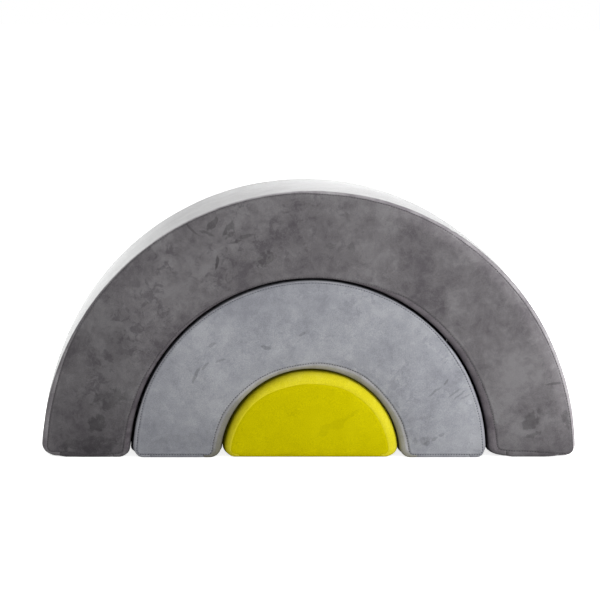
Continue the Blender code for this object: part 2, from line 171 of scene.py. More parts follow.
def laid_grid(bm, rows):
    """Lays a flat grid over rows of points, and returns its vertices row by row."""
    along, across = len(rows[0]) - 1, len(rows) - 1
    made = bmesh.ops.create_grid(bm, x_segments=along, y_segments=across, size=0.5)["verts"]
    laid = [[None] * (along + 1) for _ in rows]
    for vert in made:
        i = round((vert.co.x + 0.5) * along)
        j = round((vert.co.y + 0.5) * across)
        vert.co = rows[j][i]
        laid[j][i] = vert
    return laid


def placed(name, data):
    """An object in the scene."""
    made = bpy.data.objects.new(name, data)
    bpy.context.scene.collection.objects.link(made)
    return made


def piece(name, bm, finish, body):
    """An object of its own that rides on a body."""
    mesh = bpy.data.meshes.new(name)
    bm.to_mesh(mesh)
    bm.free()
    mesh.materials.append(finish)
    mesh.shade_smooth()
    obj = placed(name, mesh)
    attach(obj, body)
    return obj


def feed(tree, node, **inputs):
    """Gives a shader node its inputs: values, or other nodes' outputs. _0 is the first."""
    for key, value in inputs.items():
        socket = node.inputs[int(key[1:]) if key[0] == "_" else key.replace("_", " ")]
        if isinstance(value, bpy.types.NodeSocket):
            tree.links.new(value, socket)
        else:
            socket.default_value = value


def grow(tree, kind, settings=None, **inputs):
    """Adds a shader node."""
    made = tree.nodes.new(kind)
    for key, value in (settings or {}).items():
        setattr(made, key, value)
    feed(tree, made, **inputs)
    return made


def spread(tree, value, low, high, top=1.0):
    """A value from 0 to top, brought to the range from low to high."""
    return grow(
        tree, "ShaderNodeMapRange", Value=value, From_Max=top, To_Min=low, To_Max=high
    ).outputs["Result"]


def multiplied(tree, colour, factor):
    """The output of a colour times a grey value."""
    made = grow(
        tree, "ShaderNodeMix", {"data_type": "RGBA", "blend_type": "MULTIPLY"},
        _0=1.0, _6=colour, _7=factor,
    )
    return made.outputs[2]


def new_finish(name):
    """A material with a bare shader, as (material, node tree, shader, object coordinates)."""
    made = bpy.data.materials.new(name)
    made.use_nodes = True
    tree = made.node_tree
    place = tree.nodes.new("ShaderNodeTexCoord").outputs["Object"]
    return made, tree, tree.nodes["Principled BSDF"], place


def foam_finish():
    """Cream open-cell foam: small dark cells with bright walls."""
    made, tree, shader, place = new_finish("open_cell_foam")
    cells = grow(tree, "ShaderNodeTexVoronoi", Vector=place, Scale=1 / CELL_SIZE)
    walls = spread(tree, cells.outputs["Distance"], 1.0, 0.6, top=0.8)
    pits = grow(tree, "ShaderNodeBump", Strength=0.6, Distance=0.0006, Height=walls)
    feed(
        tree, shader, Base_Color=multiplied(tree, (*FOAM_COLOUR, 1), walls),
        Normal=pits.outputs["Normal"], Roughness=0.95,
    )
    return made


def foam_block(form, finish):
    """The block, a little smaller than the inside of its cover, with room for the zip's slider
    at the back."""
    levels = []
    for turn in FOAM_BENDS:
        bend = math.radians(turn)
        levels.append((1 - math.sin(bend), form.edge_depth * (1 - math.cos(bend))))
    front = [(share, FOAM_SUNK - SEAM_PLANE + deep) for share, deep in levels]
    rows = []
    for share, y in front + [(share, -y - ZIP_ROOM) for share, y in reversed(front)]:
        outside, foot, inside = outline(form, share, FOAM_SUNK, -FOAM_CORNER)
        half = outside + foot[1:] + inside[1:]
        rows.append([(x, form.y + y, z) for x, z in half])
    bm = bmesh.new()
    laid = laid_grid(bm, rows)
    for row in (laid[0], laid[-1]):
        bm.faces.new(row)
    whole = bm.verts[:] + bm.edges[:] + bm.faces[:]
    bmesh.ops.mirror(bm, geom=whole, axis="X", merge_dist=0.0001)
    bmesh.ops.recalc_face_normals(bm, faces=bm.faces)
    block = piece(f"{form.name}_foam", bm, finish, form.name)
    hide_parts(f"{form.name}_foam_core")


foam = foam_finish()
foam_block(outer, foam)


# Outer arch, cover
# Dark grey velour with a short brushed pile: two half rings, two long bands and a flat under
# each foot. They are sewn inside out and turned, so each seam is a narrow ditch, with a row of
# top stitches beside it on the faces. Hands have brushed the pile darker in places. Painted
# shade darkens the left leg and the inner band, and painted highlights lie along the outer
# band's front edges and on the right of the face's outer edge.

Mark = namedtuple("Mark", "x z long wide turn strength")
Fold = namedtuple("Fold", "angle width depth reach")
Band = namedtuple("Band", "finish pressed edge crown")
# How light and shade are painted on a band: a tone by its seams, a painted highlight above 1 and
# painted shade below 1, weaker on the left, and painted shade further behind the seams.
BandLighting = namedtuple("BandLighting", "rim rim_from rim_to hidden hidden_from hidden_to left", defaults=(1.0,))
Dye = namedtuple("Dye", "colour brushed raised tips")

OUTSIDE, FOOT, INSIDE = range(3)
VELOUR_THICK = 0.0012
ARCH_ZIP_END = math.radians(8)
MOON_ZIP_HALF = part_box("half_moon_zip_lower_tape")[1].x
MOON_ZIP_UP = 0.014
SLIT_HALF = 0.0050
SLIT_LIP = 0.0019
SLIT_LIP_REACH = 0.0014
NEAR_SLIT = (-0.0026, -0.0011, 0.0, 0.0011, 0.0026)
DITCH_REACH = 0.0010
END_DITCH = 0.3
SWELLS = ((0.0006, 7), (0.0003, 23))
PUCKERS = ((1.0, 70), (0.6, 130))
PUCKER_RISE = 0.0005
PUCKER_REACH = 0.012
CROWN_RUN = 0.070
PRESSED = 0.12
PRESSED_FROM = 0.133
PRESSED_RUN = 0.040
PRESSED_CORNER = 0.006
CORNER_FLAT = 0.003
CORNER_RISE = 0.009
LIFT_TOP = 0.070
LIFT_REACH = 0.050
NEAR_SEAM = (0.0, 0.0005, 0.0011, 0.0018, 0.0026, 0.0036, 0.0050, 0.0070, 0.0100)
CLOSEST = 0.0002
FACE_STEP = 0.0100
EDGE_STEP = 0.0040
BAND_STEP = 0.0150
RING_MIDDLE = 0.4
RIDGE_IN = 0.0045
RIDGE_WIDE = 0.0016
RIDGE_RISE = 0.0007
STITCH_IN = 0.0010
STITCH_PULL = 0.0006
STITCH_PULL_WIDE = 0.0010
STITCH_LONG = 0.0032
STITCH_PITCH = 0.0060
STITCH_THICK = 0.0022
STITCH_OUT = 0.0003

outer_dye = Dye(
    colour=(0.142, 0.134, 0.141), brushed=(0.078, 0.070, 0.079), raised=(0.190, 0.183, 0.190),
    tips=(0.985, 0.995, 0.99),
)
OUTER_THREAD = (0.050, 0.046, 0.051)
outer_marks_and_shade = [
    # Painted shade over the left leg.
    Mark(-0.500, 0.180, 0.150, 0.260, 0, 0.17),
    Mark(-0.213, 0.440, 0.020, 0.0042, 83, 0.44),
    Mark(-0.222, 0.528, 0.030, 0.008, 60, 0.30),
    Mark(-0.236, 0.505, 0.022, 0.0045, -25, 0.26),
    Mark(-0.268, 0.512, 0.026, 0.0035, -40, 0.26),
    Mark(-0.186, 0.515, 0.030, 0.010, 62, 0.32),
    Mark(-0.172, 0.488, 0.016, 0.0045, 20, 0.26),
    Mark(-0.150, 0.500, 0.022, 0.006, 10, 0.25),
    Mark(-0.105, 0.448, 0.030, 0.022, 20, 0.20),
    Mark(-0.448, 0.132, 0.055, 0.030, 12, 0.22),
    Mark(-0.478, 0.078, 0.027, 0.022, 35, 0.32),
    Mark(-0.490, 0.030, 0.085, 0.022, 0, 0.20),
    Mark(0.036, 0.480, 0.018, 0.010, 15, 0.16),
    Mark(0.084, 0.472, 0.014, 0.011, 70, 0.18),
    Mark(0.503, 0.090, 0.036, 0.024, 35, 0.30),
    Mark(0.578, 0.087, 0.020, 0.030, 10, 0.30),
    Mark(0.545, 0.170, 0.022, 0.0040, 8, 0.30),
    Mark(0.500, 0.052, 0.022, 0.008, 12, 0.24),
]
outer_folds = [Fold(59.0, 0.0045, 0.0022, 0.030), Fold(57.2, 0.0035, 0.0012, 0.022)]


def unevenness(x, y, z, seam_away):
    """How far hand-sewn velour over foam strays outwards: slow swells, and puckers by a seam."""
    at = Vector((x, y, z))
    swell = sum(rise * noise.noise(at * often) for rise, often in SWELLS)
    pucker = sum(share * noise.noise(at * often) for share, often in PUCKERS)
    return swell + PUCKER_RISE * pucker * math.exp(-seam_away / PUCKER_REACH)


def ditch(form, away):
    """How deep the velour dives into a seam."""
    return form.ditch * math.exp(-away / DITCH_REACH)


def ridge(away):
    """The seam allowance lifts a face beside the stitches, which pull it in."""
    lift = RIDGE_RISE * math.exp(-(((away - RIDGE_IN) / RIDGE_WIDE) ** 2))
    return lift - STITCH_PULL * math.exp(-(((away - STITCH_IN) / STITCH_PULL_WIDE) ** 2))


def clamped(value):
    """A value kept between 0 and 1."""
    return min(1.0, max(0.0, value))


def swelling(away):
    """The share of its swell that a face has at a distance from a seam."""
    return 1 - (1 - clamped(away / CROWN_RUN)) ** 3


def face_seams(form, x, z):
    """How far a point of a face lies from each of its seams."""
    reach = math.hypot(x, z)
    away = [form.radius - form.seam_outer - reach, z - form.seam_foot]
    if form.hollow is not None:
        away.append(reach - form.hollow - form.seam_hollow)
    return away


def seam_away(form, x, z):
    """How far a point of a face lies from the nearest seam, with its round corners."""
    outside, foot, *hollow = face_seams(form, x, z)
    nearest = min(outside, foot, *hollow)
    for side in (outside, *hollow):
        if side < SEAM_CORNER and foot < SEAM_CORNER:
            nearest = min(
                nearest, SEAM_CORNER - math.hypot(SEAM_CORNER - side, SEAM_CORNER - foot)
            )
    return max(0.0, nearest)


def rounded_corner(form, x, z):
    """Draws the square corners of a face's grid in to the round corners of its seam."""
    reach = math.hypot(x, z)
    foot = SEAM_CORNER - (z - form.seam_foot)
    for seam, sign in ((form.radius - form.seam_outer, 1), (form.hollow + form.seam_hollow, -1)):
        side = SEAM_CORNER - sign * (seam - reach)
        if side > 0 and foot > 0:
            shrink = max(side, foot) / math.hypot(side, foot)
            reach = seam - sign * (SEAM_CORNER - side * shrink)
            z = form.seam_foot + SEAM_CORNER - foot * shrink
            return math.copysign(math.sqrt(reach**2 - z**2), x), z
    return x, z


def between(places, angle):
    """A value at an angle in degrees, smoothly between the places where it is known."""
    for (start, first), (end, last) in zip(places, places[1:]):
        if angle <= end:
            t = (angle - start) / (end - start)
            return first + (last - first) * t * t * (3 - 2 * t)
    return places[-1][1]


def as_sewn(form, x, z, share=1.0, y=-SEAM_PLANE):
    """Where a point really lies in front, where no seam runs true and the feet's corners lift
    off the floor: share is as in outline."""
    reach, angle = math.hypot(x, z), math.degrees(math.atan2(z, x))
    outside = form.radius - form.seam_outer
    inside = 0.0 if form.hollow is None else form.hollow + form.seam_hollow
    middle = (outside + inside) / 2
    shift, weight = 0.0, 0.0
    if reach > middle:
        shift = form.seam_outer - between(form.true_outer, angle)
        weight = min(1.0, (reach - middle) / (outside - middle))
    elif form.hollow is not None:
        shift = between(form.true_hollow, angle) - form.seam_hollow
        weight = min(1.0, (middle - reach) / (middle - inside))
    if shift:
        stretch = 1 + share * weight**2 * shift / reach
        x, z = x * stretch, z * stretch
    if form.foot_seam:
        low = clamped((LIFT_TOP - z) / LIFT_REACH)
        front = max(0.0, 1 - (SEAM_PLANE + y) / LIFT_REACH)
        edge = (1 - share) * front**2 * between(form.foot_edge, x)
        z += low**2 * (share * between(form.foot_seam, x) + edge)
    return x, z


def face_height(form, x, z, side):
    """How far a face stands out from the plane of its seams."""
    away = seam_away(form, x, z)
    crown = FACE_CROWN
    for seam in face_seams(form, x, z):
        crown *= swelling(seam)
    height = crown - ditch(form, away) + form.ridge * ridge(away)
    height += unevenness(x, side, z, away)
    if side > 0:
        height -= SLIT_LIP * math.exp(-slit_away(form, x, z) / SLIT_LIP_REACH)
    return height


def slit_away(form, x, z):
    """How far a point of the back lies from the edge of the slit that the zip shows in."""
    across, past = zip_place(form, x, z)
    if past < 0:
        return abs(abs(across) - SLIT_HALF)
    return math.hypot(past, max(0.0, abs(across) - SLIT_HALF))


def spaced(start, end, creases, step):
    """Places from start to end, close together by each crease and else a step apart."""
    fixed = {start, end}
    for crease in creases:
        for away in NEAR_SEAM:
            fixed.update(place for place in (crease - away, crease + away) if start < place < end)
    fixed = sorted(fixed)
    places = [start]
    for place in fixed[1:]:
        gap = place - places[-1]
        if gap < CLOSEST:
            continue
        parts = max(1, math.ceil(gap / step))
        before = places[-1]
        places += [before + gap * part / parts for part in range(1, parts + 1)]
    return places


def arch_face_grid(form, back):
    """A flat half ring in (x, z), row by row from the hollow to the outside."""
    low, high = form.hollow + form.seam_hollow, form.radius - form.seam_outer
    zip_line = arch_zip_radius(form)
    cross = [low, high] + ([zip_line - SLIT_HALF, zip_line + SLIT_HALF] if back else [])
    middle = (low + high) / 2
    lowest = math.asin(form.seam_foot / middle)
    length = middle * (math.pi - 2 * lowest)
    along = [0.0, length]
    if back:
        along += [middle * (ARCH_ZIP_END - lowest), middle * (math.pi - ARCH_ZIP_END - lowest)]
    turns = [place / length for place in spaced(0.0, length, along, FACE_STEP)]
    rows = []
    for radius in spaced(low, high, cross, FACE_STEP):
        foot = math.asin(form.seam_foot / radius)
        angles = [foot + (math.pi - 2 * foot) * turn for turn in turns]
        row = [(radius * math.cos(angle), radius * math.sin(angle)) for angle in angles]
        rows.append([rounded_corner(form, x, z) for x, z in row])
    return rows


def moon_face_grid(form):
    """Closed rings in (x, z) from the middle out, with the shape of the outline."""
    outside, foot, _ = outline(form, 1.0)
    half = outside + foot[1:]
    ring = [(-x, z) for x, z in reversed(half)] + half[1:]
    middle = RING_MIDDLE * form.radius
    rows = []
    for share in spaced(0.0, middle, [middle], FACE_STEP / 2):
        share /= middle
        rows.append([(x * share, middle + (z - middle) * share) for x, z in ring])
    return rows


def face_panel(form, side, finish):
    """The front (side -1) or the back (side 1) of a cover."""
    back = side > 0
    rows = moon_face_grid(form) if form.hollow is None else arch_face_grid(form, back)
    bm = bmesh.new()
    laid_grid(bm, [[(x, 0.0, z) for x, z in row] for row in rows])
    bmesh.ops.remove_doubles(bm, verts=bm.verts, dist=0.00002)
    if back:
        if form.hollow is None:
            middle = moon_zip_height(form)
            for away in NEAR_SLIT:
                for edge, normal in (
                    ((0, 0, middle - SLIT_HALF - away), (0, 0, 1)),
                    ((0, 0, middle + SLIT_HALF + away), (0, 0, 1)),
                    ((MOON_ZIP_HALF + away, 0, 0), (1, 0, 0)),
                    ((-MOON_ZIP_HALF - away, 0, 0), (1, 0, 0)),
                ):
                    whole = bm.verts[:] + bm.edges[:] + bm.faces[:]
                    bmesh.ops.bisect_plane(bm, geom=whole, plane_co=edge, plane_no=normal)
        cut = []
        for face in bm.faces:
            middle = face.calc_center_median()
            across, past = zip_place(form, middle.x, middle.z)
            if abs(across) < SLIT_HALF and past < 0:
                cut.append(face)
        bmesh.ops.delete(bm, geom=cut, context="FACES")
    for vert in bm.verts:
        x, z = vert.co.x, vert.co.z
        vert.co.y = form.y + side * (SEAM_PLANE + face_height(form, x, z, side))
        if not back:
            vert.co.x, vert.co.z = as_sewn(form, x, z)
    point_out(bm, Vector((0, side, 0)))
    name = "back" if back else "front"
    panel = piece(f"{form.name}_{name}_velour", bm, finish, form.name)
    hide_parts(f"{form.name}_{name}_panel")
    line_with_backing(panel)


def point_out(bm, outwards):
    """Turns an open panel's faces so that most of it looks outwards."""
    bm.normal_update()
    if sum(face.normal.dot(outwards) * face.calc_area() for face in bm.faces) < 0:
        bmesh.ops.reverse_faces(bm, faces=bm.faces)
    bm.normal_update()


def line_with_backing(panel):
    """Gives the velour its thickness, inwards."""
    backing = panel.modifiers.new("backing", "SOLIDIFY")
    backing.thickness = VELOUR_THICK
    backing.offset = -1


def cross_rows(form):
    """The rows of a band from its front seam to its back seam, as (share, y, seam away). Quarter
    is the way round the edge, taken as a quarter of a circle of its mean radius."""
    quarter = math.pi * (form.seam_outer + form.edge_depth) / 4
    rows = []
    for away in spaced(0.0, quarter, [0.0], EDGE_STEP):
        bend = math.pi / 2 * away / quarter
        rows.append((1 - math.sin(bend), form.edge_depth * (1 - math.cos(bend)) - SEAM_PLANE, away))
    flat = SEAM_PLANE - form.edge_depth
    steps = math.ceil(flat / BAND_STEP)
    for step in range(1, steps + 1):
        rows.append((0.0, -flat + flat * step / steps, quarter + flat * step / steps))
    return rows + [(share, -y, away) for share, y, away in reversed(rows[:-1])]


def pressed_at(y):
    """How far a band is pressed by the next piece: 0 by the faces and 1 in the middle."""
    deep = clamped((PRESSED_FROM - abs(y)) / PRESSED_RUN)
    return deep * deep * (3 - 2 * deep)


def strip(form, run, side=0, pressed=False):
    """Points of a run of the outline, row by row. With no side the run goes from foot to foot."""
    rows = []
    for share, y, away in cross_rows(form):
        half = outline(form, share, tighter=PRESSED_CORNER * pressed * pressed_at(y))[run]
        if side:
            points = [(side * x, z) for x, z in half]
        elif run == OUTSIDE:
            points = half[:0:-1] + [(-x, z) for x, z in half]
        else:
            points = half + [(-x, z) for x, z in reversed(half[:-1])]
        if y < 0:
            points = [as_sewn(form, x, z, share, y) for x, z in points]
        rows.append([(x, y, z) for x, z in points])
    return rows


def end_away(points, i):
    """How far a point of a row lies from the row's nearer end."""
    head = (Vector(points[i]) - Vector(points[0])).length
    tail = (Vector(points[i]) - Vector(points[-1])).length
    return min(head, tail)


def band_swell(band, angle, share, y):
    """How far a filled band stands out, by an angle in degrees. One that lies on the next piece
    nearly touches it in the middle of its depth, and is pressed smooth there."""
    if not band.pressed:
        return band.crown[0][1] * math.cos(math.pi / 2 * min(1.0, abs(y) / SEAM_PLANE)) ** 1.5
    edge = (1 - share) * between(band.edge, angle) if y < 0 else 0.0
    return edge + (between(band.crown, angle) - edge) * pressed_at(y)


def strip_panel(form, node, run, finish, side=0, band=None, folds=()):
    """A band or a flat under a foot, sewn between the two faces."""
    rows = strip(form, run, side, bool(band and band.pressed))
    bm = bmesh.new()
    laid = laid_grid(bm, [[(x, form.y + y, z) for x, y, z in points] for points in rows])
    point_out(bm, Vector((0, 0, 1 if run == OUTSIDE else -1)))
    moves = []
    for (share, y, away), points, verts in zip(cross_rows(form), rows, laid):
        for i, vert in enumerate(verts):
            x, _, z = points[i]
            rise = 0.0
            if band:
                above = clamped((z - CORNER_FLAT) / CORNER_RISE)
                stray = unevenness(x, y, z, away) * (PRESSED if band.pressed else 1.0)
                angle = math.degrees(math.atan2(z, x))
                rise = above * (band_swell(band, angle, share, y) + stray)
            for fold in folds:
                along = math.hypot(x, z) * (math.atan2(z, x) - math.radians(fold.angle))
                pull = fold.depth * math.exp(-((along / fold.width) ** 2))
                rise -= pull * math.exp(-away / fold.reach)
            rise -= ditch(form, away) + END_DITCH * ditch(form, end_away(points, i))
            moves.append((vert, vert.normal * rise))
    for vert, move in moves:
        vert.co += move
    name = node.replace("_panel", "")
    panel = piece(f"{form.name}_{name}_velour", bm, finish, form.name)
    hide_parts(f"{form.name}_{node}")
    line_with_backing(panel)


BROAD_SIZE = 0.150
BROAD_SHARE = 0.45
MOTTLED_SIZE = 0.036
MOTTLED_SHARE = 0.55
RAISED_AT = (0.47, 0.62)
BRUSHED_AT = (0.50, 0.36)
BRUSHED_MOST = 0.65
HANDLED_SIZE = 0.090
HANDLED_AT = (0.44, 0.60)
HANDLED_LEAST = 0.4
STROKE_SIZE = 0.021
STROKE_AT = (0.50, 0.60)
STROKE_MOST = 0.55
CREASE_SIZE = 0.030
CREASE_HALF = 0.014
CREASE_MOST = 0.35
PILE_SIZE = 0.0014
PILE_AT = (0.3, 0.7)
PILE_TONES = (0.84, 1.16)
# Where a face's outer edge gets its painted highlight: across X, up Z, and in from the edge.
HIGHLIGHT_ACROSS = (0.10, 0.30)
HIGHLIGHT_UP = (0.03, 0.16)
HIGHLIGHT_FROM = 0.045
HIGHLIGHT_TO = 0.003
# Heights above the floor over which the painted tone by a band's seams fades in.
PAINTED_EDGE_UP = (0.006, 0.020)
FINE_MARK = 0.0065
FINE_STRAY = 0.006
BROAD_MARK = 0.1
BROAD_STRAY = 0.015
RAGGED_GAIN = 7.0
RAGGED_LOSS = 2.5
MARK_DEEP = 0.04
MARK_AT = (0.05, 0.40)


def sized(tree, value, low, high, to_low=0.0, to_high=1.0):
    """A value from low to high, brought smoothly to the range from to_low to to_high."""
    return grow(
        tree, "ShaderNodeMapRange", {"interpolation_type": "SMOOTHSTEP"}, Value=value,
        From_Min=low, From_Max=high, To_Min=to_low, To_Max=to_high,
    ).outputs["Result"]


def worked(tree, operation, *values):
    """One value, worked out from one or two."""
    inputs = {f"_{index}": value for index, value in enumerate(values)}
    return grow(tree, "ShaderNodeMath", {"operation": operation}, **inputs).outputs[0]


def times(tree, first, second):
    """The product of two values."""
    return worked(tree, "MULTIPLY", first, second)


def moved(tree, operation, **inputs):
    """The outputs of a node that works on vectors."""
    return grow(tree, "ShaderNodeVectorMath", {"operation": operation}, **inputs).outputs


def towards(tree, colour, other, factor):
    """A colour drawn towards another one."""
    made = grow(tree, "ShaderNodeMix", {"data_type": "RGBA"}, _0=factor, _6=colour, _7=other)
    return made.outputs[2]


def clouds(tree, place, size, detail, rough=0.5, swirl=0.0):
    """Noise whose larger shapes are about so many metres across."""
    return grow(
        tree, "ShaderNodeTexNoise", Vector=place, Scale=1 / size, Detail=detail,
        Roughness=rough, Distortion=swirl,
    ).outputs["Fac"]


def wandering(tree, place, far):
    """Places that stray by up to so many metres, so that shapes lose their clean outline."""
    stray = grow(tree, "ShaderNodeTexNoise", Vector=place, Scale=38.0, Detail=3.0)
    stray = moved(
        tree, "MULTIPLY_ADD", _0=stray.outputs["Color"], _1=(2 * far, 0.0, 2 * far),
        _2=(-far, 0.0, -far),
    )
    return moved(tree, "ADD", _0=place, _1=stray["Vector"])["Vector"]


def lit_right_edge(tree, dyed, form, place, axes, most):
    """The colour, painted paler on the right of a face's outer edge by up to a share of itself,
    as a painted highlight.
    """
    flat = moved(tree, "MULTIPLY", _0=place, _1=(1.0, 0.0, 1.0))["Vector"]
    reach = moved(tree, "LENGTH", _0=flat)["Value"]
    edge = sized(tree, reach, form.radius - HIGHLIGHT_FROM, form.radius - HIGHLIGHT_TO, 0.0, most)
    right = times(tree, sized(tree, axes["X"], *HIGHLIGHT_ACROSS), sized(tree, axes["Z"], *HIGHLIGHT_UP))
    return multiplied(tree, dyed, worked(tree, "ADD", times(tree, edge, right), 1.0))


def painted_band_light(tree, dyed, form, axes, bend):
    """The colour of a band that bends behind its seam, with light and shade painted on it: a
    painted tone by its seams, at full strength on the right and at a share on the left, and
    painted shade further behind them, where the next piece shades and presses it."""
    from_middle = worked(tree, "ABSOLUTE", worked(tree, "SUBTRACT", axes["Y"], form.y))
    behind = worked(tree, "SUBTRACT", SEAM_PLANE, from_middle)
    rim = times(
        tree, sized(tree, behind, bend.rim_to, bend.rim_from), sized(tree, axes["Z"], *PAINTED_EDGE_UP)
    )
    rim = times(tree, rim, sized(tree, axes["X"], -form.radius, form.radius, bend.left, 1.0))
    hidden = sized(tree, behind, bend.hidden_from, bend.hidden_to)
    for tone, share in ((bend.rim, rim), (bend.hidden, hidden)):
        dyed = multiplied(tree, dyed, towards(tree, (1, 1, 1, 1), (*tone, 1), share))
    return dyed


def marked(tree, dyed, form, place, strokes, marks):
    """The colour with its marks of use. The outline of each strays, a fine one's less, and the
    strokes break up each one that is neither fine nor broad. A broad one is painted shade over a
    large patch, and painted light where its strength is below 0."""
    bent = wandering(tree, place, FINE_STRAY)
    broken = wandering(tree, place, BROAD_STRAY)
    ragged = worked(tree, "SUBTRACT", times(tree, strokes, RAGGED_GAIN), RAGGED_LOSS)
    for mark in marks:
        patch = grow(
            tree, "ShaderNodeMapping", {"vector_type": "TEXTURE"},
            Vector=bent if mark.wide < FINE_MARK else broken,
            Location=(mark.x, form.y - DEPTH / 2, mark.z),
            Rotation=(0, -math.radians(mark.turn), 0), Scale=(mark.long, MARK_DEEP, mark.wide),
        ).outputs["Vector"]
        patch = grow(
            tree, "ShaderNodeTexGradient", {"gradient_type": "SPHERICAL"}, Vector=patch
        ).outputs["Fac"]
        if FINE_MARK <= mark.wide < BROAD_MARK:
            patch = times(tree, patch, ragged)
        dyed = multiplied(tree, dyed, sized(tree, patch, *MARK_AT, 1.0, 1.0 - mark.strength))
    return dyed


def velour_finish(
    name, form, dye, sheen, seed, marks=(), bend=None, worn=(0.18, -0.08), right_edge_highlight=0.0
):
    """Short-pile velour. Its pile lies in slow light and dark areas. Hands have left clusters
    of short dark strokes and a web of pale creases, more of them across worn from its first X
    to its second, and marks are the larger ones. The tips catch light at a low angle, as
    sheen. A face can get a painted highlight on the right of its outer edge, a band painted
    light and shade by and behind its seams, and the broad marks are painted light and shade."""
    made, tree, shader, place = new_finish(name)
    axes = grow(tree, "ShaderNodeSeparateXYZ", Vector=place).outputs
    shifted = moved(tree, "ADD", _0=place, _1=(seed, 2.7 * seed, -seed))["Vector"]
    broad = clouds(tree, shifted, BROAD_SIZE, 3.0)
    mottled = clouds(tree, shifted, MOTTLED_SIZE, 9.0, rough=0.68, swirl=0.3)
    strokes = clouds(tree, shifted, STROKE_SIZE, 5.0, rough=0.64, swirl=0.5)
    creases = clouds(tree, shifted, CREASE_SIZE, 2.0, swirl=0.6)
    pile = clouds(tree, shifted, PILE_SIZE, 2.0, rough=0.7)
    handled = times(
        tree, sized(tree, clouds(tree, shifted, HANDLED_SIZE, 2.0, swirl=0.5), *HANDLED_AT),
        sized(tree, axes["X"], *worn, HANDLED_LEAST, 1.0),
    )

    lie = worked(tree, "ADD", times(tree, broad, BROAD_SHARE), times(tree, mottled, MOTTLED_SHARE))
    dyed = towards(tree, (*dye.colour, 1), (*dye.raised, 1), sized(tree, lie, *RAISED_AT))
    dark = sized(tree, lie, *BRUSHED_AT, 0.0, BRUSHED_MOST)
    dyed = towards(tree, dyed, (*dye.brushed, 1), dark)
    dark = times(tree, sized(tree, strokes, *STROKE_AT), handled)
    dyed = towards(tree, dyed, (*dye.brushed, 1), times(tree, dark, STROKE_MOST))
    beside = worked(tree, "ABSOLUTE", worked(tree, "SUBTRACT", creases, 0.5))
    pale = times(tree, sized(tree, beside, CREASE_HALF, 0.0), handled)
    dyed = towards(tree, dyed, (*dye.raised, 1), times(tree, pale, CREASE_MOST))
    dyed = multiplied(tree, dyed, sized(tree, pile, *PILE_AT, *PILE_TONES))
    # A painted highlight on the right of the face's outer edge.
    if right_edge_highlight:
        dyed = lit_right_edge(tree, dyed, form, place, axes, right_edge_highlight)
    # Painted light and shade on a band, by and behind its seams.
    if bend:
        dyed = painted_band_light(tree, dyed, form, axes, bend)
    if marks:
        dyed = marked(tree, dyed, form, place, strokes, marks)

    nap = grow(tree, "ShaderNodeBump", Strength=0.35, Distance=0.0004, Height=pile)
    crush = grow(
        tree, "ShaderNodeBump", Strength=0.25, Distance=0.0015, Height=mottled,
        Normal=nap.outputs["Normal"],
    )
    feed(
        tree, shader, Base_Color=dyed, Normal=crush.outputs["Normal"], Roughness=0.85,
        Specular_IOR_Level=0.0, Sheen_Weight=sheen, Sheen_Tint=(*dye.tips, 1),
        Sheen_Roughness=0.35,
    )
    return made


def thread_finish(name, colour):
    """Twisted polyester thread, a little glossier than the pile."""
    made, tree, shader, place = new_finish(name)
    twist = grow(
        tree, "ShaderNodeTexWave", Vector=place, Scale=600.0, Distortion=2.0, Detail=2.0
    )
    tone = spread(tree, twist.outputs["Fac"], 0.75, 1.2)
    feed(tree, shader, Base_Color=multiplied(tree, (*colour, 1), tone), Roughness=0.55)
    return made


def bead(sides, rings):
    """The points and faces of a unit ball with its poles on Z, to be pressed into a stitch."""
    points = [Vector((0, 0, 1))]
    for ring in range(1, rings):
        down = math.pi * ring / rings
        flat, height = math.sin(down), math.cos(down)
        for side in range(sides):
            turn = 2 * math.pi * side / sides
            points.append(Vector((flat * math.sin(turn), flat * math.cos(turn), height)))
    points.append(Vector((0, 0, -1)))
    last = len(points) - 1
    faces = []
    for side in range(sides):
        after = (side + 1) % sides
        faces.append((0, 1 + after, 1 + side))
        for ring in range(rings - 2):
            a, b = 1 + ring * sides + side, 1 + ring * sides + after
            faces.append((a, b, b + sides, a + sides))
        faces.append((last, last - sides + side, last - sides + after))
    return points, faces


def scattered(bm, shape, places):
    """Adds a copy of a shape, as points and faces, at each place."""
    points, faces = shape
    for place in places:
        verts = [bm.verts.new(place @ point) for point in points]
        for face in faces:
            made = bm.faces.new([verts[index] for index in face])
            made.smooth = True


def stitch_line(form):
    """The way of the top stitches round an arch's face, as a closed loop of (x, z)."""
    narrow = form._replace(
        seam_outer=form.seam_outer + STITCH_IN, seam_foot=form.seam_foot + STITCH_IN,
        seam_hollow=form.seam_hollow + STITCH_IN, steps=3 * form.steps,
    )
    outside, foot, inside = outline(narrow, 1.0)
    half = outside + foot[1:] + inside[1:]
    return half + [(-x, z) for x, z in reversed(half)]


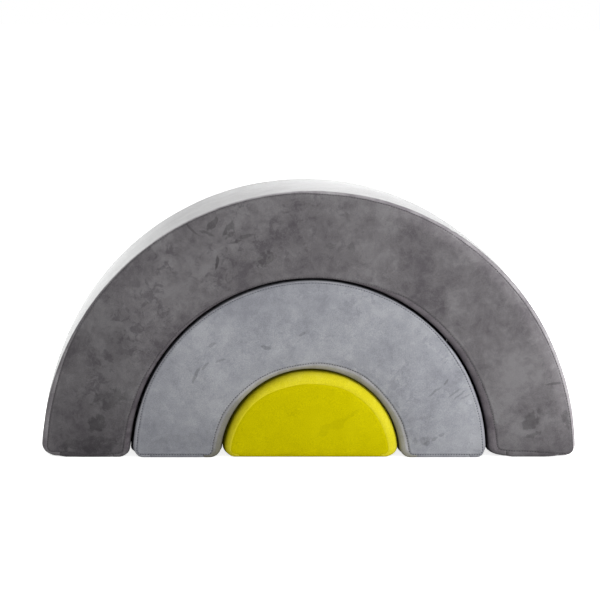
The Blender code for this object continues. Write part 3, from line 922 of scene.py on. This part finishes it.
def stitching(form, side, finish):
    """One thread stitch after another along the stitch line, each sunk at both ends. At the back
    none stands along the zip, where the slider runs."""
    way = stitch_line(form)
    places = []
    walked, due = 0.0, 0.0
    for start, end in zip(way, way[1:]):
        step = math.dist(start, end)
        while due < walked + step:
            t = (due - walked) / step
            x, z = start[0] + (end[0] - start[0]) * t, start[1] + (end[1] - start[1]) * t
            due += STITCH_PITCH
            across, past = zip_place(form, x, z)
            if side > 0 and abs(across) < 2 * SLIT_HALF and past < STITCH_LONG:
                continue
            out = SEAM_PLANE + face_height(form, x, z, side) + STITCH_OUT
            angle = math.atan2(end[1] - start[1], end[0] - start[0])
            if side < 0:
                x, z = as_sewn(form, x, z)
            size = Matrix.Diagonal((STITCH_LONG / 2, STITCH_THICK / 2, STITCH_THICK / 2, 1))
            lie = Matrix.Rotation(-angle, 4, "Y") @ size
            places.append(Matrix.Translation((x, form.y + side * out, z)) @ lie)
        walked += step
    bm = bmesh.new()
    scattered(bm, bead(sides=6, rings=5), places)
    name = "back" if side > 0 else "front"
    piece(f"{form.name}_{name}_top_stitches", bm, finish, form.name)


def arch_zip_radius(form):
    """The radius of an arch's zip, which lies beside the seam of the hollow."""
    return form.hollow + form.seam_hollow + SLIT_HALF


def moon_zip_height(form):
    """The height of the half moon's zip above the floor."""
    return form.seam_foot + MOON_ZIP_UP


def zip_place(form, x, z):
    """Where a point lies from the zip: across its middle line, and past its nearer end."""
    if form.hollow is None:
        return z - moon_zip_height(form), abs(x) - MOON_ZIP_HALF
    angle = math.atan2(z, abs(x))
    radius = math.hypot(x, z)
    return radius - arch_zip_radius(form), (ARCH_ZIP_END - angle) * radius


def cover(form, finish, thread, outside, inside=None, folds=()):
    """All the velour of a piece and its stitches. Outside and inside are its bands."""
    for side in (-1, 1):
        face_panel(form, side, finish)
        if thread:
            stitching(form, side, thread)
    if form.hollow is None:
        strip_panel(form, "curved_band", OUTSIDE, outside.finish, band=outside)
        strip_panel(form, "base_panel", FOOT, finish)
    else:
        strip_panel(form, "outer_band", OUTSIDE, outside.finish, band=outside, folds=folds)
        strip_panel(form, "inner_band", INSIDE, inside.finish, band=inside)
        strip_panel(form, "left_foot_panel", FOOT, finish, side=-1)
        strip_panel(form, "right_foot_panel", FOOT, finish, side=1)


# The face gets a painted highlight, up to 0.6 paler, on the right of its outer edge.
outer_velour = velour_finish(
    "dark_grey_velour", outer, outer_dye, sheen=1.0, seed=3.1, marks=outer_marks_and_shade, right_edge_highlight=0.6
)
# A painted highlight, up to 2.6 times paler, along the band's front edges; 0.3 of it on the left.
outer_band_velour = velour_finish(
    "dark_grey_band_velour", outer, outer_dye, sheen=1.0, seed=4.7,
    bend=BandLighting((2.60, 2.60, 2.60), 0.0002, 0.0060, (1, 1, 1), 0.010, 0.020, left=0.3),
)
# Painted shade on the inner band: a little darker by its seams and down to 0.6 behind them.
outer_inner_velour = velour_finish(
    "dark_grey_shaded_velour", outer, outer_dye, sheen=0.0, seed=5.6,
    bend=BandLighting((0.90, 0.86, 0.89), 0.0120, 0.0140, (0.60, 0.58, 0.60), 0.0015, 0.0090),
)
outer_thread = thread_finish("dark_grey_thread", OUTER_THREAD)
cover(
    outer, outer_velour, outer_thread,
    outside=Band(outer_band_velour, False, None, ((0, 0.0024),)),
    inside=Band(
        outer_inner_velour, True,
        ((0, 0.0025), (20, 0.0020), (35, 0.0005), (60, 0.0), (90, -0.0015), (120, -0.0010),
         (150, 0.0), (180, 0.0010)),
        ((0, 0.0027), (150, 0.0027), (173, 0.0045), (178.3, 0.0009), (180, 0.0009)),
    ),
    folds=outer_folds,
)


# Middle arch, foam core and cover
# The same build, smaller, in light blue grey velour. Its outside lies under the outer arch, so
# the pile there is pressed, and that band is painted darker behind its seams as painted shade.
# Yellow light from the half moon warms its hollow, painted into that band's colour with a
# painted highlight by its seams and painted shade behind them. Painted shade lies over the
# left leg and painted light over the right one.

middle_dye = Dye(
    colour=(0.305, 0.312, 0.340), brushed=(0.222, 0.226, 0.254), raised=(0.362, 0.368, 0.394),
    tips=(0.96, 0.97, 1.0),
)
# The hollow's band, its grey painted warmer: painted yellow light from the half moon.
middle_inner_moonlit_dye = Dye(
    colour=(0.320, 0.312, 0.270), brushed=(0.250, 0.242, 0.200), raised=(0.360, 0.353, 0.315),
    tips=(0.96, 0.97, 1.0),
)
MIDDLE_THREAD = (0.078, 0.079, 0.100)
middle_marks_light_and_shade = [
    # Painted shade over the left leg.
    Mark(-0.320, 0.110, 0.130, 0.200, 0, 0.06),
    Mark(-0.258, 0.190, 0.026, 0.0045, 62, 0.26),
    Mark(-0.238, 0.210, 0.014, 0.0040, 50, 0.22),
    Mark(-0.204, 0.222, 0.018, 0.0035, 15, 0.20),
    Mark(-0.224, 0.255, 0.014, 0.0045, 20, 0.20),
    Mark(-0.300, 0.045, 0.060, 0.012, 5, 0.08),
    Mark(-0.103, 0.252, 0.014, 0.0060, -10, 0.22),
    Mark(-0.022, 0.281, 0.012, 0.0050, 30, 0.18),
    Mark(0.276, 0.150, 0.024, 0.003, 35, 0.22),
    Mark(0.300, 0.172, 0.012, 0.003, 55, 0.28),
    Mark(0.322, 0.150, 0.020, 0.0028, 38, 0.20),
    Mark(0.333, 0.143, 0.022, 0.0028, 42, 0.22),
    Mark(0.345, 0.139, 0.016, 0.0028, 36, 0.18),
    Mark(0.250, 0.040, 0.026, 0.011, 15, 0.16),
    # Painted light over the right leg.
    Mark(0.300, 0.130, 0.130, 0.200, 0, -0.08),
    Mark(0.262, 0.034, 0.010, 0.0055, 20, 0.20),
    Mark(0.278, 0.043, 0.009, 0.0050, 30, 0.22),
    Mark(0.293, 0.053, 0.009, 0.0045, 34, 0.18),
    Mark(0.262, 0.095, 0.026, 0.005, 10, 0.09),
    Mark(0.356, 0.127, 0.007, 0.006, 0, -0.12),
]
# Painted shade low on the left of the hollow's band.
middle_inner_painted_shade = [Mark(-0.200, 0.060, 0.100, 0.110, 0, 0.30)]
middle = form_of(
    "middle_arch", "outer_band", "right_foot_panel", steps=72, seam_outer=0.008,
    seam_hollow=0.015, seam_foot=0.0065, edge_depth=0.008, ditch=0.0005, ridge=1.0,
    true_outer=(
        (0, 0.0104), (20, 0.0082), (32, 0.0062), (50, 0.0022), (80, 0.0017), (150, 0.0017),
        (158, 0.0030), (170, 0.0078), (180, 0.0090),
    ),
    true_hollow=(
        (0, 0.0196), (20, 0.0172), (40, 0.0144), (60, 0.0168), (80, 0.0144), (100, 0.0099),
        (130, 0.0132), (155, 0.0184), (180, 0.0190),
    ),
)
foam_block(middle, foam)
middle_velour = velour_finish(
    "light_grey_velour", middle, middle_dye, sheen=0.8, seed=11.4, marks=middle_marks_light_and_shade,
    worn=(-0.25, 0.10),
)
# Painted shade darkens the outer band to 0.62 behind its seams, with a faint painted highlight by
# them.
middle_outer_velour = velour_finish(
    "light_grey_shaded_velour", middle, middle_dye, sheen=0.0, seed=14.8,
    bend=BandLighting((1.10, 1.09, 1.09), 0.0005, 0.0045, (0.62, 0.62, 0.64), 0.0060, 0.0180),
)
# Painted highlight by the band's seams, and painted shade, darker and yellower, behind them.
middle_inner_velour = velour_finish(
    "light_grey_inner_velour", middle, middle_inner_moonlit_dye, sheen=0.0, seed=17.2,
    marks=middle_inner_painted_shade,
    bend=BandLighting((1.22, 1.24, 1.48), 0.0001, 0.0009, (0.60, 0.59, 0.52), 0.0008, 0.0080),
)
middle_thread = thread_finish("light_grey_thread", MIDDLE_THREAD)
cover(
    middle, middle_velour, middle_thread,
    outside=Band(
        middle_outer_velour, True,
        ((0, -0.0035), (20, -0.0020), (35, 0.0), (60, 0.0), (90, 0.0015), (120, 0.0010),
         (150, 0.0), (165, -0.0010), (180, -0.0020)),
        ((0, 0.0027), (150, 0.0027), (173, 0.0009), (178.3, 0.0045), (180, 0.0045)),
    ),
    inside=Band(
        middle_inner_velour, True,
        ((0, 0.0), (180, 0.0)),
        ((0, 0.0020), (60, 0.0020), (90, 0.0026), (120, 0.0036), (180, 0.0042)),
    ),
)


# Half moon, foam core and cover
# A solid half disc in lime yellow velour, whose edge is rounder than the arches'. One band
# goes over its top and round both corners, and a flat closes it below. The band is painted
# paler than the faces as a painted highlight, and darker from 22 mm behind its seams as
# painted shade.

moon_dye = Dye(
    colour=(0.585, 0.518, 0.001), brushed=(0.545, 0.480, 0.001), raised=(0.618, 0.549, 0.002),
    tips=(0.90, 0.80, 0.0),
)
# Paler than the faces' colour: a painted highlight along the band.
moon_band_sheen_dye = Dye(
    colour=(0.740, 0.655, 0.022), brushed=(0.680, 0.600, 0.012), raised=(0.790, 0.710, 0.050),
    tips=(0.90, 0.80, 0.0),
)
moon_marks = [
    Mark(0.044, 0.070, 0.045, 0.014, 30, 0.09),
    Mark(0.090, 0.098, 0.030, 0.006, 40, 0.08),
    Mark(-0.045, 0.105, 0.030, 0.010, 10, 0.05),
]
moon = form_of(
    "half_moon", "curved_band", "base_panel", steps=48, seam_outer=0.026, seam_foot=0.009,
    edge_depth=0.028, ditch=0.0003, ridge=0.3,
    true_outer=(
        (0, 0.0200), (30, 0.0212), (60, 0.0222), (85, 0.0265), (100, 0.0262), (140, 0.0172),
        (180, 0.0150),
    ),
    true_hollow=(),
)
foam_block(moon, foam)
moon_velour = velour_finish(
    "lime_yellow_velour", moon, moon_dye, sheen=0.6, seed=23.9, marks=moon_marks
)
# Painted shade darkens the band to 0.36 from 22 mm behind its seams.
moon_band_velour = velour_finish(
    "lime_yellow_band_velour", moon, moon_band_sheen_dye, sheen=0.5, seed=31.3,
    bend=BandLighting((1, 1, 1), 0.0001, 0.0014, (0.36, 0.36, 0.36), 0.022, 0.030),
)
cover(
    moon, moon_velour, None,
    outside=Band(
        moon_band_velour, True,
        ((0, 0.0020), (20, 0.0034), (40, 0.0036), (60, 0.0026), (90, -0.0015), (120, -0.0025),
         (150, -0.0025), (180, -0.0025)),
        ((0, 0.0030), (20, 0.0033), (60, 0.0033), (90, 0.0027), (120, 0.0017), (180, 0.0010)),
    ),
)


# Zips
# Each cover comes off through a coil zip at the back. Two woven tapes are sewn under the slit,
# a nylon coil is woven on each tape's edge, and a die-cast slider with a pull runs over it
# between two metal stops.

ZIP_SUNK = 0.0028
TAPE_PLANE = SEAM_PLANE - ZIP_SUNK
TAPE_REACH = 0.0085
TAPE_FROM = 0.0006
TAPE_THICK = 0.0005
TAPE_STEP = 0.008
COIL_PITCH = 0.0018
COIL_THREAD = 0.00034
COIL_LEAN = 0.5
TOOTH_WAY = (
    (0.0027, 0.0004), (0.0021, 0.0017), (0.0012, 0.0019), (0.0009, 0.0012), (0.0012, 0.0005),
    (0.0021, 0.0003),
)
WEAVE_TONE = 0.8
NYLON_TONE = 0.7
METAL_COLOUR = (0.46, 0.46, 0.47)
CAST_EDGE = 0.00018


def zip_point(form, across, up, along):
    """The point at a share of the zip's length, across its middle line and above its tapes."""
    if form.hollow is None:
        x = MOON_ZIP_HALF * (1 - 2 * along)
        return Vector((x, form.y + TAPE_PLANE + up, moon_zip_height(form) + across))
    angle = ARCH_ZIP_END + (math.pi - 2 * ARCH_ZIP_END) * along
    radius = arch_zip_radius(form) + across
    return Vector((radius * math.cos(angle), form.y + TAPE_PLANE + up, radius * math.sin(angle)))


def tooth():
    """A turn of the coil, standing across the zip, as points and faces: a bent thread with
    four sides. X runs away from the zip's middle, Y up and Z along it."""
    points, faces = [], []
    last = len(TOOTH_WAY) - 1
    for step, (x, y) in enumerate(TOOTH_WAY):
        before, after = TOOTH_WAY[max(0, step - 1)], TOOTH_WAY[min(last, step + 1)]
        heading = math.atan2(after[1] - before[1], after[0] - before[0])
        lean = COIL_PITCH * (step / last - 0.5) * COIL_LEAN
        for side in range(4):
            turn = math.pi / 2 * side
            out = COIL_THREAD * math.cos(turn)
            points.append(Vector((
                x - out * math.sin(heading),
                y + out * math.cos(heading),
                lean + COIL_THREAD * math.sin(turn),
            )))
        if step:
            for side in range(4):
                a, b = 4 * (step - 1) + side, 4 * (step - 1) + (side + 1) % 4
                faces.append((a, b, b + 4, a + 4))
    faces.append((3, 2, 1, 0))
    faces.append(tuple(4 * last + side for side in range(4)))
    return points, faces


def tape_finish(name, colour):
    """Herringbone tape, woven fine."""
    made, tree, shader, place = new_finish(name)
    weave = grow(
        tree, "ShaderNodeTexWave", {"bands_direction": "DIAGONAL"}, Vector=place, Scale=420.0,
        Distortion=1.0,
    )
    tone = spread(tree, weave.outputs["Fac"], 0.7, 1.15)
    ribs = grow(
        tree, "ShaderNodeBump", Strength=0.5, Distance=0.0003, Height=weave.outputs["Fac"]
    )
    feed(
        tree, shader, Base_Color=multiplied(tree, (*colour, 1), tone),
        Normal=ribs.outputs["Normal"], Roughness=0.8,
    )
    return made


def nylon_finish(name, colour):
    """Moulded nylon thread: smooth, with a faint haze."""
    made, tree, shader, place = new_finish(name)
    haze = grow(tree, "ShaderNodeTexNoise", Vector=place, Scale=250.0, Detail=2.0)
    tone = spread(tree, haze.outputs["Fac"], 0.8, 1.2)
    feed(tree, shader, Base_Color=multiplied(tree, (*colour, 1), tone), Roughness=0.35)
    return made


def metal_finish():
    """Satin die-cast zinc with a fine grain."""
    made, tree, shader, place = new_finish("satin_zinc")
    grain = grow(tree, "ShaderNodeTexNoise", Vector=place, Scale=900.0, Detail=3.0).outputs["Fac"]
    dents = grow(tree, "ShaderNodeBump", Strength=0.15, Distance=0.0001, Height=grain)
    tone = spread(tree, grain, 0.85, 1.1)
    feed(
        tree, shader, Base_Color=multiplied(tree, (*METAL_COLOUR, 1), tone),
        Roughness=spread(tree, grain, 0.28, 0.45), Normal=dents.outputs["Normal"], Metallic=1.0,
    )
    return made


def zip_tape(form, node, side, woven, nylon):
    """One tape with its half of the coil, on the inner (side -1) or outer side of the zip."""
    length = 2 * MOON_ZIP_HALF
    if form.hollow is not None:
        length = arch_zip_radius(form) * (math.pi - 2 * ARCH_ZIP_END)
    steps = math.ceil(length / TAPE_STEP)
    bm = bmesh.new()
    loop = (
        (TAPE_FROM, 0.0), (TAPE_REACH, 0.0), (TAPE_REACH, -TAPE_THICK), (TAPE_FROM, -TAPE_THICK),
        (TAPE_FROM, 0.0),
    )
    rows = []
    for across, up in loop:
        rows.append([zip_point(form, side * across, up, step / steps) for step in range(steps + 1)])
    laid_grid(bm, rows)
    bmesh.ops.remove_doubles(bm, verts=bm.verts, dist=0.00001)
    bmesh.ops.holes_fill(bm, edges=bm.edges, sides=4)
    bmesh.ops.recalc_face_normals(bm, faces=bm.faces)
    places = []
    turns = math.floor(length / COIL_PITCH) - 2
    for turn in range(turns):
        along = (turn + 1 + (0.5 if side > 0 else 0.0)) * COIL_PITCH / length
        base = zip_point(form, 0.0, 0.0, along)
        heading = (zip_point(form, 0.0, 0.0, along + 0.0005) - base).normalized()
        up = Vector((0, 1, 0))
        away = up.cross(heading)
        if side * away.dot(zip_point(form, 0.001, 0.0, along) - base) < 0:
            away = -away
        turned = Matrix((away, up, away.cross(up))).transposed().to_4x4()
        places.append(Matrix.Translation(base) @ turned)
    bands = len(bm.faces)
    scattered(bm, tooth(), places)
    bm.faces.ensure_lookup_table()
    for face in bm.faces[bands:]:
        face.material_index = 1
    made = piece(f"{form.name}_{node}_woven", bm, woven, form.name)
    made.data.materials.append(nylon)
    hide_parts(f"{form.name}_{node}")


zinc = metal_finish()
for form, dye, word, near, far in (
    (outer, outer_dye, "outer", "inner", "outer"),
    (middle, middle_dye, "middle", "inner", "outer"),
    (moon, moon_dye, "moon", "lower", "upper"),
):
    woven = tape_finish(f"{word}_zip_weave", tuple(WEAVE_TONE * c for c in dye.colour))
    nylon = nylon_finish(f"{word}_zip_nylon", tuple(NYLON_TONE * c for c in dye.colour))
    zip_tape(form, f"zip_{near}_tape", -1, woven, nylon)
    zip_tape(form, f"zip_{far}_tape", 1, woven, nylon)
    for node in ("zip_closed_stop", "zip_open_stop", "zip_slider", "zip_pull"):
        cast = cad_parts[f"{form.name}_{node}"]
        cast.data.materials.clear()
        cast.data.materials.append(zinc)
        rounded = cast.modifiers.new("cast edges", "BEVEL")
        rounded.width = CAST_EDGE
        rounded.segments = 2
        rounded.limit_method = "ANGLE"


# Floor, light and camera
# A white sweep with soft light from above and from the right, seen from a little left of the
# middle and above the set, through a long lens.

CAMERA_PLACE = (-0.342, -5.185, 1.116)
CAMERA_PITCH = math.radians(-8.54)
CAMERA_YAW = math.radians(3.56)
CAMERA_ROLL = math.radians(0.76)
CAMERA_LENS = 138.1
FLOOR_COLOUR = (0.80, 0.80, 0.80, 1)
FLOOR_LIFT = 0.84
WORLD_STRENGTH = 0.64


def shown_rays(tree):
    """1 for rays that show the background: straight from the camera, by glass or by gloss."""
    path = tree.nodes.new("ShaderNodeLightPath").outputs
    seen = worked(tree, "MAXIMUM", path["Is Camera Ray"], path["Is Glossy Ray"])
    return worked(tree, "MAXIMUM", seen, path["Is Transmission Ray"])


def white_floor():
    """Matt white, and lifted to plain white for the rays that show it."""
    made = bpy.data.materials.new("white_sweep")
    made.use_nodes = True
    tree = made.node_tree
    tree.nodes.remove(tree.nodes["Principled BSDF"])
    matt = grow(tree, "ShaderNodeBsdfDiffuse", Color=FLOOR_COLOUR).outputs[0]
    lift = grow(tree, "ShaderNodeEmission", Color=(1, 1, 1, 1), Strength=FLOOR_LIFT).outputs[0]
    lifted = grow(tree, "ShaderNodeAddShader", _0=matt, _1=lift).outputs[0]
    mixed = grow(tree, "ShaderNodeMixShader", _0=shown_rays(tree), _1=matt, _2=lifted)
    feed(tree, tree.nodes["Material Output"], Surface=mixed.outputs[0])
    return made


def soft_box(name, place, aim, size, power):
    """A wide lamp with an even face, which looks at the point aim."""
    lamp = bpy.data.lights.new(name, "AREA")
    lamp.shape = "RECTANGLE"
    lamp.size, lamp.size_y = size
    lamp.energy = power
    made = placed(name, lamp)
    made.location = place
    made.rotation_euler = (Vector(aim) - Vector(place)).to_track_quat("-Z", "Y").to_euler()


bm = bmesh.new()
bmesh.ops.create_grid(bm, x_segments=1, y_segments=1, size=30.0)
mesh = bpy.data.meshes.new("floor")
bm.to_mesh(mesh)
bm.free()
mesh.materials.append(white_floor())
placed("floor", mesh)

world = bpy.data.worlds.new("studio")
bpy.context.scene.world = world
world.use_nodes = True
tree = world.node_tree
strength = spread(tree, shown_rays(tree), WORLD_STRENGTH, 1.0)
feed(tree, tree.nodes["Background"], Color=(1, 1, 1, 1), Strength=strength)

soft_box(
    "right_soft_box", place=(1.75, -1.35, 1.1), aim=(0.2, 0.0, 0.2), size=(1.0, 1.2), power=27
)
soft_box(
    "top_soft_box", place=(0.3, 1.3, 2.4), aim=(0.0, 0.0, 0.35), size=(2.0, 1.2), power=76
)
soft_box(
    "back_soft_box", place=(2.0, 1.8, 0.5), aim=(0.6, 0.0, 0.3), size=(0.8, 1.2), power=34
)

camera = bpy.data.cameras.new("camera")
camera.lens = CAMERA_LENS
camera.sensor_width = 36
ahead = Vector((
    math.sin(CAMERA_YAW) * math.cos(CAMERA_PITCH),
    math.cos(CAMERA_YAW) * math.cos(CAMERA_PITCH),
    math.sin(CAMERA_PITCH),
))
level = Vector((math.cos(CAMERA_YAW), -math.sin(CAMERA_YAW), 0))
upright = level.cross(ahead)
across = math.cos(CAMERA_ROLL) * level + math.sin(CAMERA_ROLL) * upright
viewer = placed("camera", camera)
turned = Matrix((across, across.cross(ahead), -ahead)).transposed()
viewer.matrix_world = Matrix.Translation(CAMERA_PLACE) @ turned.to_4x4()
bpy.context.scene.camera = viewer

bpy.context.scene.view_settings.view_transform = "Standard"
